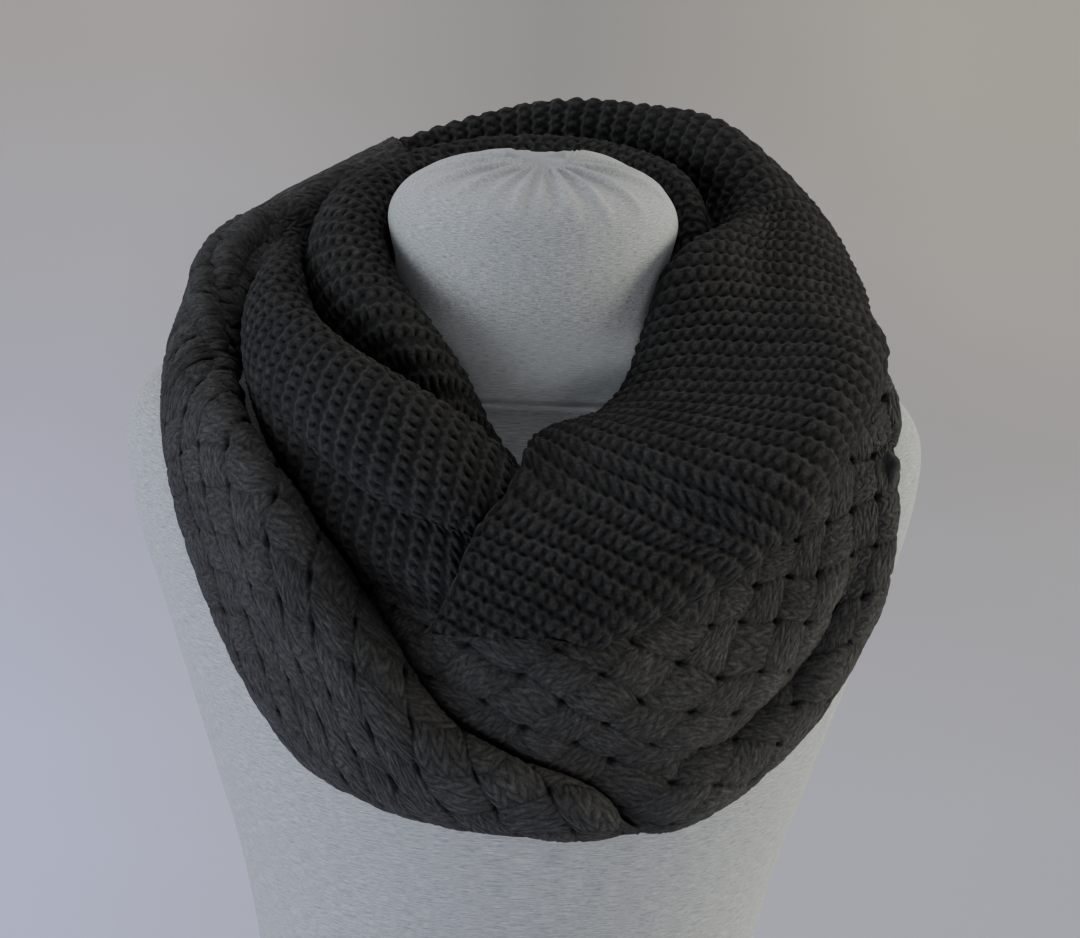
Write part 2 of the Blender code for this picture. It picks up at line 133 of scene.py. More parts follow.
CHEST_ROLL = (
    (14, 0, 96, 137, 105, 133, 114, 143, 90, 90),
    (4, 0, 102, 129, 120, 125, 130, 144, 98, 96),
    (-10, 0, 106, 109, 137, 100, 142, 153, 106, 104),
    (-25, 0, 109, 96, 144, 83, 137, 149, 112, 114),
    (-40, 0, 110, 87, 141, 69, 135, 130, 114, 116),
    (-58, 0, 109, 78, 132, 55, 131, 106, 116, 116),
    (-75, 0, 107, 68, 122, 45, 127, 86, 118, 114),
    (-92, 0, 105, 62, 114, 42, 120, 68, 112, 108),
)
CHEST_FOLDS = (
    (0.12, 0.62, 0.70, 0.72, 9, 13),
)

OUTER_ROLL = (
    (-148.7, 0, 125, 62, 138, 17, 154, 100, 112, 112),
    (-162, 0, 124, 61, 139, 11, 157, 107, 114, 113),
    (-180, 0, 119, 58, 136, 2, 156, 110, 118, 115),
    (-205, 0, 117, 56, 137, -2, 156, 106, 118, 118),
    (-228, 2, 112, 54, 137, 0, 155, 98, 118, 118),
    (-246, 7, 102, 48, 137, 13, 152, 82, 112, 118),
    (-260, 12, 90, 41, 131, 21, 149, 74, 104, 118),
    (-276, 18, 75, 34, 120, 29, 147, 70, 98, 118),
    (-294, 26, 70, 38, 113, 40, 147, 72, 95, 118),
    (-308, 29, 70, 62, 116, 52, 148, 76, 92, 122),
    (-320, 31, 74, 82, 123, 63, 146, 84, 90, 128),
    (-334, 34, 82, 92, 136, 74, 142, 95, 88, 130),
    (-355, 42, 92, 99, 153, 90, 137, 121, 78, 130),
    (-360.5, 40, 119, 107, 159, 103, 136, 133, 50, 130),
    (-366, 38, 147, 122, 165, 118, 135, 145, 30, 128),
    (-369, 30, 160, 146, 168, 144, 143, 153, 30, 112),
    (-372, 24, 163, 163, 165, 161, 150, 161, 40, 90),
)
OUTER_FOLDS = (
    (0.02, 0.34, 0.66, 0.60, 15, 6),
    (0.12, 0.40, 0.84, 0.88, 12, 5),
    (0.34, 0.62, 0.24, 0.40, 16, 6),
    (0.58, 0.84, 0.62, 0.72, 18, -4),
)

DRAPE_LEFT = (
    (-148, 0, 125, 62, 138, 17, 154, 100, 112, 112),
    (-134, 0, 124, 62, 136, 24, 151, 88, 114, 114),
    (-118, 0, 122, 62, 136, 31, 150, 78, 117, 117),
    (-100, 0, 125, 66, 141, 42, 155, 80, 105, 116),
    (-86, 0, 132, 76, 147, 60, 156, 88, 98, 108),
    (-80, 0, 134, 82, 150, 68, 160, 93, 96, 106),
    (-74, 0, 136, 90, 154, 77, 163, 106, 94, 106),
    (-68, 0, 139, 98, 159, 86, 163, 132, 92, 110),
    (-62, 0, 142, 105, 164, 95, 159, 164, 90, 114),
    (-52, 0, 147, 114, 169, 114, 150, 207, 92, 118),
    (-40, 0, 149, 130, 173, 144, 142, 239, 96, 118),
    (-25, 0, 153, 166, 174, 188, 137, 251, 84, 118),
    (-10, 0, 157, 211, 169, 227, 135, 256, 60, 116),
    (2, 0, 158, 227, 163, 240, 134, 259, 62, 112),
    (10, 0, 158, 236, 160, 248, 136, 262, 66, 104),
    (17, 0, 158, 246, 156, 255, 139, 264, 56, 94),
    (22, 0, 157, 254, 152, 261, 142, 265, 46, 84),
)
LEFT_FOLDS = (
    (0.16, 0.46, 0.34, 0.26, 7, 9),
    (0.45, 0.85, 0.62, 0.50, 22, 5),
)

DRAPE_RIGHT = (
    (-47, 0, 129, 156, 137, 176, 140, 198, 74, 80),
    (-38, 0, 124, 157, 132, 180, 136, 214, 78, 84),
    (-20, 0, 122, 154, 137, 180, 128, 236, 80, 92),
    (-4, 0, 122, 152, 146, 184, 123, 245, 80, 98),
    (12, 0, 122, 152, 151, 189, 125, 250, 66, 102),
    (18, 0, 122, 151, 153, 190, 129, 254, 58, 106),
    (25, 0, 122, 150, 155, 190, 137, 258, 50, 114),
    (32, 0, 122, 147, 156, 186, 139, 255, 46, 118),
    (40, 0, 123, 142, 156, 178, 139, 250, 44, 118),
    (52, 0, 127, 130, 158, 163, 150, 230, 42, 114),
    (60, 0, 130, 116, 161, 147, 158, 206, 44, 110),
    (66, 0, 131, 104, 163, 133, 166, 182, 48, 104),
    (71, 0, 131, 94, 161, 115, 171, 149, 54, 94),
    (76, 0, 130, 86, 156, 100, 171, 115, 62, 80),
    (81, 0, 130, 81, 151, 90, 168, 100, 66, 74),
    (88, 0, 130, 78, 147, 84, 163, 91, 68, 74),
    (96, 0, 128, 77, 145, 84, 161, 91, 70, 78),
    (104, 0, 124, 79, 145, 87, 160, 98, 70, 86),
    (113, 0, 120, 84, 146, 97, 160, 114, 72, 92),
    (122, 0, 117, 89, 148, 107, 155, 137, 75, 100),
    (150, 0, 112, 98, 146, 128, 136, 180, 80, 115),
    (180, 0, 112, 100, 144, 138, 130, 192, 80, 115),
    (205, 0, 114, 100, 146, 132, 136, 182, 80, 115),
    (222, 0, 118, 99, 145, 114, 147, 150, 78, 110),
    (238, 0, 120, 93, 136, 98, 145, 120, 75, 105),
    (250, 0, 123, 85, 133, 86, 143, 96, 70, 100),
)
RIGHT_FOLDS = (
    (0.16, 0.38, 0.66, 0.60, 9, 10),
    (0.38, 0.60, 0.45, 0.40, 24, 4),
    (0.62, 0.92, 0.56, 0.66, 13, 7),
)

# Each stretch: its sections, its folds, its wall, and how finely it is divided before it settles,
# by the spacing of its sections and the points across each.
STRETCHES = {
    "neck_roll": (NECK_ROLL, (), GARTER_WALL, 17.0, 9),
    "chest_roll": (CHEST_ROLL, CHEST_FOLDS, GARTER_WALL, 14.0, 14),
    "outer_roll": (OUTER_ROLL, OUTER_FOLDS, GARTER_WALL, 15.0, 15),
    "drape_left": (DRAPE_LEFT, LEFT_FOLDS, CABLE_FULL, 7.8, 25),
    "drape_right": (DRAPE_RIGHT, RIGHT_FOLDS, CABLE_FULL, 8.8, 23),
}


# --- reading the tables ---
def column(table, name):
    return np.array([row[SECTION_COLUMNS.index(name)] for row in table], float)


def bell(away, half=1.0):
    return np.exp(-((away / half) ** 2))


def steps(points, axis=0):
    """The distances between neighbouring points."""
    return np.linalg.norm(np.diff(points, axis=axis), axis=-1)


def smooth(stations, values, at):
    """A soft curve through values (rows at the given stations), read at other stations."""
    slopes = np.gradient(values, stations, axis=0)
    k = np.clip(np.searchsorted(stations, at) - 1, 0, len(stations) - 2)
    step = stations[k + 1] - stations[k]
    t = (at - stations[k]) / step
    t, step = t[:, None], step[:, None]
    return (
        (2 * t**3 - 3 * t**2 + 1) * values[k]
        + (t**3 - 2 * t**2 + t) * step * slopes[k]
        + (3 * t**2 - 2 * t**3) * values[k + 1]
        + (t**3 - t**2) * step * slopes[k + 1]
    )


def placed(table, edge, turned):
    """The points of one edge of every section: its angle is turned by a share of the swing."""
    turn = np.radians(column(table, "angle") + turned * column(table, "swing"))
    radius, drop = column(table, edge + "_r"), column(table, edge + "_drop")
    return np.stack([radius * np.sin(turn), -radius * np.cos(turn), RIM_HEIGHT - drop], axis=-1)


def arch(turn_in, turn_out, fine=96):
    """One section, a part of a squared circle, as shares of the way from edge to edge and of the
    crest's height."""
    turn = np.radians(np.linspace(-turn_in, turn_out, fine))
    along = np.sign(np.sin(turn)) * np.abs(np.sin(turn)) ** ROLL_SQUARE
    rise = np.sign(np.cos(turn)) * np.abs(np.cos(turn)) ** ROLL_SQUARE
    share = (along - along[0]) / (along[-1] - along[0])
    rise = rise - rise[0] - share * (rise[-1] - rise[0])
    return share, rise / rise.max()


def evenly(points, count):
    """The polyline through points, read at count points that are evenly spaced along it."""
    gone = np.concatenate([[0.0], np.cumsum(steps(points))])
    at = np.linspace(0.0, gone[-1], count)
    return np.stack([np.interp(at, gone, points[:, k]) for k in range(3)], axis=1)


def cloth_grid(table, folds, spacing, across):
    """A stretch's inner face as a grid of points: sections about spacing apart along its length,
    with across points each, from the inner edge to the outer edge."""
    inner, crest, outer = placed(table, "in", 0), placed(table, "top", 0.5), placed(table, "out", 1)
    turns = np.stack([column(table, "turn_in"), column(table, "turn_out")], axis=1)
    longest = np.max([steps(path) for path in (inner, crest, outer)], axis=0)
    gone = np.concatenate([[0.0], np.cumsum(longest)])
    count = 2 * round(gone[-1] / spacing / 2) + 1
    at = np.linspace(0.0, gone[-1], count)
    inner, crest, outer, turns = (smooth(gone, v, at) for v in (inner, crest, outer, turns))
    grid = np.empty((count, across, 3))
    for i in range(count):
        share, rise = arch(*turns[i])
        height = crest[i] - (inner[i] + outer[i]) / 2
        section = inner[i] + share[:, None] * (outer[i] - inner[i]) + rise[:, None] * height
        grid[i] = evenly(section, across)
    return folded(grid, folds)


# --- working on a grid of cloth ---
def grid_normals(grid):
    """Unit normals at a grid's points, pointing out of the roll."""
    along, across = np.gradient(grid, axis=0), np.gradient(grid, axis=1)
    normals = np.cross(along, across)
    normals /= np.linalg.norm(normals, axis=2, keepdims=True)
    middle = grid.shape[1] // 2
    chord_middle = (grid[:, 0] + grid[:, -1]) / 2
    out = ((grid[:, middle] - chord_middle) * normals[:, middle]).sum()
    return normals if out > 0 else -normals


def distances(grid):
    """How far each point lies along the middle of its stretch, and across it from its first."""
    along = np.concatenate([[0.0], np.cumsum(steps(grid[:, grid.shape[1] // 2]))])
    across = np.cumsum(steps(grid, axis=1), axis=1)
    across = np.concatenate([np.zeros((len(grid), 1)), across], axis=1)
    return np.repeat(along[:, None], grid.shape[1], axis=1), across


def folded(grid, folds):
    """The grid with its folds sunk or raised along its normals."""
    along, across = distances(grid)
    across -= across[:, -1:] / 2
    share = along / along[-1]
    sunk = np.zeros(along.shape)
    for row in folds:
        fold = dict(zip(FOLD_COLUMNS, row))
        gone = np.clip((share - fold["from"]) / (fold["to"] - fold["from"]), 0, 1)
        centre = fold["across_from"] + (fold["across_to"] - fold["across_from"]) * gone
        away = across - (centre - 0.5) * (across[:, -1:] - across[:, :1])
        fading = np.sin(np.pi * gone) ** FOLD_ENDS
        sunk += fold["depth"] * fading * bell(away, fold["width"])
    return grid - grid_normals(grid) * sunk[..., None]


# --- settling a stretch on what lies under it ---
def grid_faces(rows, columns, closed=False):
    """Quads of a grid whose points are numbered row by row. A closed one joins its rows' ends."""
    number = np.arange(rows * columns).reshape(rows, columns)
    after = np.roll(number, -1, axis=1)
    quads = np.stack([number[:-1], after[:-1], after[1:], number[1:]], axis=-1)
    return quads[:, : columns if closed else columns - 1].reshape(-1, 4)


DOWN_FIRST = [0, 3, 2, 1]  # turns a quad over, with its first corner kept


def surface(points, faces):
    return BVHTree.FromPolygons([Vector(p) for p in points], faces)


def top_surface(grid, thick):
    """A wall's outer face as a surface that more cloth can lie on."""
    faces = grid_faces(*grid.shape[:2])
    normals = grid_normals(grid)
    points = (grid + normals * thick).reshape(-1, 3)
    corner, next_one, _, last = points[faces[0]]
    if np.cross(next_one - corner, last - corner).dot(normals[0, 0]) < 0:
        faces = faces[:, ::-1]
    return surface(points, faces.tolist())


def needed_push(points, under):
    """How far each point must move for it to lie REST_GAP above the surfaces under it."""
    push = np.zeros(points.shape)
    for at in np.ndindex(points.shape[:2]):
        for each in under:
            spot, normal, _, _ = each.find_nearest(Vector(points[at]), PUSH_REACH)
            if spot is None:
                continue
            away = Vector(points[at]) - spot
            height = away.dot(normal)
            sunk = REST_GAP - height
            if abs(height) > OVER_IT * away.length and sunk > np.linalg.norm(push[at]):
                push[at] = normal * sunk
    return push


def stronger(first, second):
    """Of two pushes at each point, the longer."""
    longer = np.linalg.norm(second, axis=2) > np.linalg.norm(first, axis=2)
    return np.where(longer[..., None], second, first)


def softened(push):
    """A push that fades out over its neighbours, so that the cloth bends and doesn't step."""
    spread = np.pad(push, ((1, 1), (1, 1), (0, 0)), mode="edge")
    around = (spread[:-2, 1:-1] + spread[2:, 1:-1] + spread[1:-1, :-2] + spread[1:-1, 2:]) / 4
    return stronger(push, around * PUSH_SPREAD)


def settled(grid, thick, under):
    """The grid of a wall's inner face, moved until both faces clear everything under it."""
    for _ in range(SETTLE_ROUNDS):
        outer = grid + grid_normals(grid) * thick
        push = stronger(needed_push(grid, under), needed_push(outer, under))
        if np.linalg.norm(push, axis=2).max() < SETTLED:
            break
        grid = grid + softened(push)
    return grid


def zipped(first_edge, second_edge):
    """Triangles between two rows of point numbers that run the same way and differ in count."""
    faces = []
    i = j = 0
    first_last, second_last = len(first_edge) - 1, len(second_edge) - 1
    while i < first_last or j < second_last:
        if j == second_last or (i < first_last and (i + 1) * second_last <= (j + 1) * first_last):
            faces.append((first_edge[i], first_edge[i + 1], second_edge[j]))
            i += 1
        else:
            faces.append((first_edge[i], second_edge[j + 1], second_edge[j]))
            j += 1
    return faces


def laid_out(name, under):
    """A stretch's inner face, settled on the surfaces under it."""
    table, folds, wall, spacing, across = STRETCHES[name]
    return settled(cloth_grid(table, folds, spacing, across), wall, under)


def ring(sides, drop, half_width, front, back, square):
    """The points round one ring of the form."""
    turn = np.arange(sides) * 2 * np.pi / sides
    c, s = np.cos(turn), np.sin(turn)
    x = half_width * np.sign(c) * np.abs(c) ** (2 / square)
    y = np.where(s < 0, front, back) * np.sign(s) * np.abs(s) ** (2 / square)
    return np.stack([x, y, np.full(sides, RIM_HEIGHT - drop)], axis=1)


def form_surface():
    """The form's solid: a loft through its rings, closed at the cap and the base."""
    rings = np.array([ring(FORM_SIDES, *row) for row in FORM_RINGS])
    number = list(range(len(rings) * FORM_SIDES))
    faces = grid_faces(len(rings), FORM_SIDES, closed=True)[:, DOWN_FIRST].tolist()
    faces += [number[:FORM_SIDES], number[: -FORM_SIDES - 1 : -1]]
    return surface(rings.reshape(-1, 3), faces)


# --- stitches ---
# How places on the cloth stray along it and then across it: each pair is how far and over what
# size. PLUMP does the same for how full the garter stitches are.
GARTER_STRAY = ((0.8, 60), (0.5, 15)), ((1.2, 90), (0.6, 11))
CABLE_STRAY = ((3.6, 120), (1.8, 34)), ((2.6, 110), (1.6, 31))
PLUMP = ((0.3, 8), (0.2, 3.1))

STITCH = 5.4  # one garter stitch to the next, along a ridge
STITCH_LEAN = 0.15  # how far a stitch lies beside the one before it, as a share of their distance
# Where each part of a garter stitch lies: its centre as a share of the way from one ridge to the
# next, and its half sizes as shares of that way and of a stitch.
ARC = (0.03, 0.075, 0.12)  # the arch's strand: centre, how far it swings, half its width
LEG = (0.37, 0.21, 0.27)  # where two arches meet
HOLE = (0.40, 0.155, 0.15)  # under an arch
NOTCH = (0.80, 0.11, 0.25)  # in the valley, under where two arches meet
SWELL_AT = 0.28  # where the ground between two ridges is highest
STRAND_HEIGHT, ARC_SHARE = 0.75, 0.8  # a leg's height, and an arch's as a share of it
GARTER_LOW = 0.35  # how far the ground between the strands lies below the wall's face

CABLE_COLUMNS = 3  # columns of stitches in one strand of the cable
CABLE_STITCH = 9.0  # one stitch to the next along a column
V_SLANT = 1.2  # how far a stitch's leg climbs across half its column, in stitches
STRAND_RISE, STRAND_LOW = 1.05, 0.2  # a strand's height, and the share of it below the face
STRAND_ROUND = 0.6  # a strand's cross section: 1 is a sine's hump, less is flatter
STRAND_DIVE = 0.3  # how much of its height a strand keeps where it dives under the next
CABLE_FINE = 0.75  # how high the stitches of a strand stand
HOLE_DEPTH, EDGE_DEPTH, EDGE_HALF = 2.6, 0.5, 0.05
PLAIN_SLANT, PLAIN_FADE = 0.35, 16.0  # where plain columns end: its slant, and how softly


def drift(s, t, size, seed):
    """A slow, even wander between about -1 and 1, that repeats nowhere on the cloth."""
    pick = np.random.default_rng(seed)
    total = np.zeros(np.broadcast(s, t).shape)
    for _ in range(7):
        way = pick.uniform(0, 2 * np.pi)
        beat = pick.uniform(0.7, 1.5)
        start = pick.uniform(0, 2 * np.pi)
        total += np.sin((s * np.cos(way) + t * np.sin(way)) * 2 * np.pi * beat / size + start)
    return total / 3.5


def drifts(s, t, pairs, seed):
    return sum(far * drift(s, t, size, seed + k) for k, (far, size) in enumerate(pairs))


def slanted(s, t, slants):
    """How far the rows of stitches lean along the cloth, from the slants' table."""
    share = (s - s.min()) / np.ptp(s)
    places, *sides = np.array(slants).T
    inner, middle, outer = (np.interp(share, places, side) for side in sides)
    across = 2 * t / t.max(axis=1, keepdims=True)
    slope = inner + (middle - inner) * np.clip(across, 0, 1)
    slope += (outer - middle) * np.clip(across - 1, 0, 1)
    lean = np.cumsum(slope * np.diff(t, axis=1, prepend=t[:, :1]), axis=1)
    return lean - lean[:, lean.shape[1] * 2 // 5, None]


def garter(s, t, seed, ridge, turned=0.0, slants=(), open_hole=1.5, open_notch=0.25, swell=0.4):
    """Height of garter stitch: rows of arches whose legs meet between them, with a hole under each
    arch and a notch under each pair of legs. turned is the rows' angle to the sections, in
    degrees, and slants changes it from place to place. A ridge below 0 turns the arches over.
    open_hole and open_notch are depths, and swell is the ground's. The guide is each point's row,
    its stitch and those two depths, which also set how dark the painted shade in the holes is."""
    s = s + drifts(s, t, GARTER_STRAY[0], seed)
    t = t + drifts(s, t, GARTER_STRAY[1], seed + 2)
    turn = math.radians(turned)
    row = (s * math.cos(turn) - t * math.sin(turn)) / ridge
    if slants:
        row = row + slanted(s, t, slants) / ridge
    stitch = t * math.cos(turn) + s * math.sin(turn) - STITCH_LEAN * s * math.cos(turn)
    stitch = stitch / STITCH
    r, c = row - np.floor(row), stitch - np.round(stitch)
    foot = np.abs(c) - 0.5

    def around(centre, half, power=2):
        away = (r - centre + 0.5) % 1 - 0.5
        return np.abs(away / half) ** power

    arc = np.exp(-around(ARC[0] - ARC[1] * np.cos(2 * np.pi * c), ARC[2], 3))
    leg = np.exp(-around(LEG[0], LEG[1], 3) - np.abs(foot / LEG[2]) ** 3)
    hole = np.exp(-around(HOLE[0], HOLE[1]) - (c / HOLE[2]) ** 2)
    notch = np.exp(-around(NOTCH[0], NOTCH[1]) - (foot / NOTCH[2]) ** 2)
    plump = 1 + drifts(s, t, PLUMP, seed + 4)
    height = swell * (0.5 + 0.5 * np.cos(2 * np.pi * (r - SWELL_AT))) - GARTER_LOW
    height += STRAND_HEIGHT * np.maximum(ARC_SHARE * arc, leg) * plump
    height -= open_hole * hole + open_notch * notch
    depths = np.broadcast_to([open_hole, open_notch], (*row.shape, 2))
    return height, (row, stitch, depths[..., 0], depths[..., 1])


def legs_of_stitches(across, run):
    """Height share of columns of knit stitches: each stitch is a V whose legs lean on the next."""
    column = np.abs(2 * (across % 1) - 1)
    leg = np.abs(np.sin(np.pi * (run / CABLE_STITCH + V_SLANT * column))) ** 0.8
    return leg * (1 - 0.5 * bell(1 - column, 0.2) - 0.35 * bell(column, 0.2))


def basket(s, t, seed, strands, gap, plain_until=0.0):
    """Height of the basket-weave cable, with its stitch columns and small holes. strands are the
    weave's two steps, each along and across the stretch, and gap is half a hole's size along each
    step. Up to plain_until the columns run along the stretch. The guide is each point's place in
    the weave and on the cloth, and whether it is woven there."""
    weaving = np.ones(s.shape)
    if plain_until:
        weaving = np.clip((s + PLAIN_SLANT * t - plain_until) / PLAIN_FADE + 0.5, 0, 1)
    s = s + drifts(s, t, CABLE_STRAY[0], seed)
    t = t + drifts(s, t, CABLE_STRAY[1], seed + 2)
    (first_s, first_t), (second_s, second_t) = strands
    area = first_s * second_t - second_s * first_t
    p, q = (s * second_t - t * second_s) / area, (t * first_s - s * first_t) / area
    over = (np.floor(p) + np.floor(q)) % 2 == 0
    part_p, part_q = p - np.floor(p), q - np.floor(q)
    x, y = np.where(over, part_p, part_q), np.where(over, part_q, part_p)
    dive = STRAND_DIVE + (1 - STRAND_DIVE) * np.sin(np.pi * y) ** STRAND_ROUND
    strand = np.sin(np.pi * x) ** STRAND_ROUND * dive
    fine = legs_of_stitches(CABLE_COLUMNS * x, np.where(over, q, p) * WEAVE_CELL)
    # no two holes are the same size: the sine of a hole's number stands for chance
    to_p, to_q = p - np.round(p), q - np.round(q)
    number = np.round(p) * 12.9898 + np.round(q) * 78.233
    size = np.clip(0.85 + 0.45 * np.sin(number), 0.35, 1.2)
    hole = np.exp(-(((to_p / (gap[0] * size)) ** 2 + (to_q / (gap[1] * size)) ** 2) ** 1.2))
    edge = bell(np.minimum(x, 1 - x), EDGE_HALF) * (0.5 + 0.5 * drift(s, t, 26, seed + 4))
    woven = STRAND_RISE * (strand - STRAND_LOW) + CABLE_FINE * (fine - 0.5) * (1 - hole)
    woven = woven - HOLE_DEPTH * hole - EDGE_DEPTH * edge
    column = t * CABLE_COLUMNS / WEAVE_CELL
    plain = 0.3 + 0.9 * (legs_of_stitches(column, s) - 0.5) + 0.7 * np.sin(np.pi * column / 2)
    return weaving * woven + (1 - weaving) * plain, (p, q, s, t, weaving)


# --- fine cloth ---
RIM_STEPS = 4  # rows of points round a long edge, between the faces
RIM_LOW = 0.55  # how much lower the stitches are there
INNER_COLUMNS = 9  # points across the plain inner face
THIN_END = 0.15  # the share of the wall that is left at a tapered end
GROUND = 0.8  # how far the ground of the stitches lies below the solid's outer face
YARN_DEPTH = 0.6  # where in the wall the stitches are measured out, as a share of it
LAY_SCALE = 100.0  # millimetres to one unit of the UV map that lays out the yarn


def resampled(values, at):
    """Rows of values, read at places between them: 0 is the first row and 1 the next."""
    return smooth(np.arange(len(values), dtype=float), values, at)


def finer(grid, places, columns):
    """The same cloth with more points each way: rows at the given places, 0 to 1 along it."""
    m, n = grid.shape[:2]
    rows = len(places)
    dense = resampled(grid.reshape(m, -1), places * (m - 1))
    dense = dense.reshape(rows, n, 3).transpose(1, 0, 2).reshape(n, -1)
    dense = resampled(dense, np.linspace(0, n - 1, columns))
    return dense.reshape(columns, rows, 3).transpose(1, 0, 2)


def unit(v):
    return v / np.maximum(np.linalg.norm(v, axis=-1, keepdims=True), 1e-9)


def strand_lay(faces, guide):
    """For each face corner, its place across and along the strand that lies on top at the face's
    middle, and its place in the weave."""
    p, q, s, t, weaving = (guide[faces][..., k] for k in range(5))
    over = ((np.floor(p.mean(axis=1)) + np.floor(q.mean(axis=1))) % 2 == 0)[:, None]
    woven = weaving.mean(axis=1)[:, None] > 0.5
    across = np.where(woven, np.where(over, p, q) * WEAVE_CELL, t)
    run = np.where(woven, np.where(over, q, p) * WEAVE_CELL, s)
    cell = np.where(woven[..., None], np.stack([p, q], axis=-1), 0.5)
    return np.stack([across, run], axis=-1).reshape(-1, 2), cell.reshape(-1, 2)


def mesh_piece(name, points, quads, triangles, material, guide, woven=False):
    """A mesh from arrays: points in millimetres, faces as point numbers. guide gives each point's
    place for the material, which goes into the UV maps."""
    mesh = bpy.data.meshes.new(name)
    place = (points + np.array([0.0, NECK_BACK, 0.0])) * MM
    mesh.from_pydata(place, [], quads.tolist() + triangles.tolist())
    if woven:
        by_kind = zip(strand_lay(quads, guide), strand_lay(triangles, guide))
        lay, cell = (np.concatenate(both) for both in by_kind)
    else:
        corners = np.concatenate([quads.ravel(), triangles.ravel()])
        lay, cell = guide[corners, :2], guide[corners, 2:]
    for layer, places in (("cell", cell), ("lay", lay / LAY_SCALE)):
        if places.size:
            uv_map = mesh.uv_layers.new(name=layer)
            uv_map.data.foreach_set("uv", places.astype(np.float32).ravel())
    mesh.validate(verbose=False)
    return linked(mesh, material)


def linked(mesh, material):
    """An object in the scene for a mesh, smooth and in one material."""
    mesh.shade_smooth()
    mesh.materials.append(material)
    made = bpy.data.objects.new(mesh.name, mesh)
    bpy.context.scene.collection.objects.link(made)
    return made


def creased(cloth, wall, creases):
    """The cloth with each crease pressed in along its line, and a soft swell on both sides. A
    crease is its half width, the swell's share of its depth, and the line."""
    normals = grid_normals(cloth)
    face = cloth + normals * wall
    offset = np.zeros(cloth.shape[:2])
    for half_width, swell, line in creases:
        stops = np.array(line, float)
        line = resampled(stops, np.linspace(0, len(stops) - 1, 8 * len(stops)))
        apart = np.linalg.norm(face[:, :, None] - line[None, None, :, :3], axis=-1)
        depth = line[apart.argmin(axis=-1), 3]
        apart = apart.min(axis=-1) / half_width
        offset += depth * (swell * bell(apart - 2.6, 1.5) - bell(apart))
    return cloth + normals * offset[..., None]


def knitted(
    name, grid, wall, stitches, seed, material, spacing, end_taper=0.0, coarse=(0, 1),
    creases=(), **more
):
    """One stretch of cloth as a closed wall, with stitches on its outer face and round its long
    edges. spacing is that of its points. Up to the share coarse[0] of its length, its rows are
    coarse[1] times as far apart. end_taper is how much of its last end gets thinner."""
    gone = steps(grid).max(axis=1).sum()
    widths = steps(grid, axis=1).sum(axis=1)
    first = round(coarse[0] * gone / spacing / coarse[1])
    rest = round((1 - coarse[0]) * gone / spacing)
    start = np.linspace(0, coarse[0], first, endpoint=False)
    places = np.concatenate([start, np.linspace(coarse[0], 1, rest)])
    rows, columns = len(places), int(np.percentile(widths, 75) / spacing)
    inner = creased(finer(grid, places, columns), wall, creases)
    normals = grid_normals(inner)
    s, t = distances(inner + normals * (wall * YARN_DEPTH))
    taper = np.ones(rows)
    if end_taper:
        taper = np.sqrt(np.clip((gone - places * gone) / end_taper, THIN_END**2, 1))

    # the outer face, then the long edges: half circles from the outer face to the inner face
    half = wall / 2
    parts = [(inner + normals * (wall - GROUND) * taper[:, None, None], normals, s, t)]
    bend = np.linspace(0, np.pi, RIM_STEPS + 2)[1:-1]
    for edge, inward, swing, sign in ((-1, -2, bend, 1), (0, 1, bend[::-1], -1)):
        out = unit(inner[:, edge] - inner[:, inward])[:, None]
        up = normals[:, edge, None]
        way = up * np.cos(swing)[:, None] + out * np.sin(swing)[:, None]
        rim = inner[:, edge, None] + (up + way) * (half * taper)[:, None, None]
        rim_s = np.repeat(s[:, :1], RIM_STEPS, axis=1)
        parts.append((rim, unit(way), rim_s, t[:, edge, None] + sign * half * swing))
    base, way, s, t = (np.concatenate(each, axis=1) for each in zip(*parts))
    height, guide = stitches(s, t, seed, **more)
    height = height * taper[:, None]
    height[:, columns:] *= RIM_LOW
    outer = base + way * height[..., None]

    # one loop of points for each row: outer face, right rim, inner face back, left rim
    split = columns + RIM_STEPS
    pick = np.linspace(0, columns - 1, INNER_COLUMNS).round().astype(int)[::-1]

    def looped(outside, inside):
        row_parts = [outside[:, :split], inside[:, pick], outside[:, split:]]
        return np.concatenate(row_parts, axis=1)

    loop = looped(outer, inner)
    guide = np.stack(guide, axis=-1)
    guide = looped(guide, guide).reshape(-1, guide.shape[-1])
    quads = grid_faces(rows, loop.shape[1], closed=True)
    number = np.arange(rows * loop.shape[1]).reshape(rows, -1)
    start, end = (zipped(row[:split], row[split:][::-1]) for row in (number[0], number[-1]))
    triangles = np.array(start + [face[::-1] for face in end])
    if np.cross(outer[1, 1] - outer[0, 1], outer[0, 2] - outer[0, 1]) @ normals[0, 1] > 0:
        quads, triangles = quads[:, ::-1], triangles[:, ::-1]
    woven = stitches is basket
    return mesh_piece(name, loop.reshape(-1, 3), quads, triangles, material, guide, woven)


# --- the dress form ---
FINE_SIDES, FINE_RINGS = 176, 9  # points round it, and rows of faces from one ring to the next
SIDE_STEP = 2.2  # how far apart the jersey is laid from one side to the next
SEAM_DROP = 90.0  # the seam at the foot of the neck: a narrow groove between two soft lips
SEAM_DEPTH, SEAM_LIPS = 0.6, 0.3
GATHER_AT = (3.8, -12.0)  # where the gathers of the neck's cap meet, x and y
MEETING_DEPTH, MEETING_REACH = 3.4, 7.0  # how deep the cap sinks there, and how far out
GATHER_TURN = 4.0  # the drop from which a gather's way down counts, as well as its way out
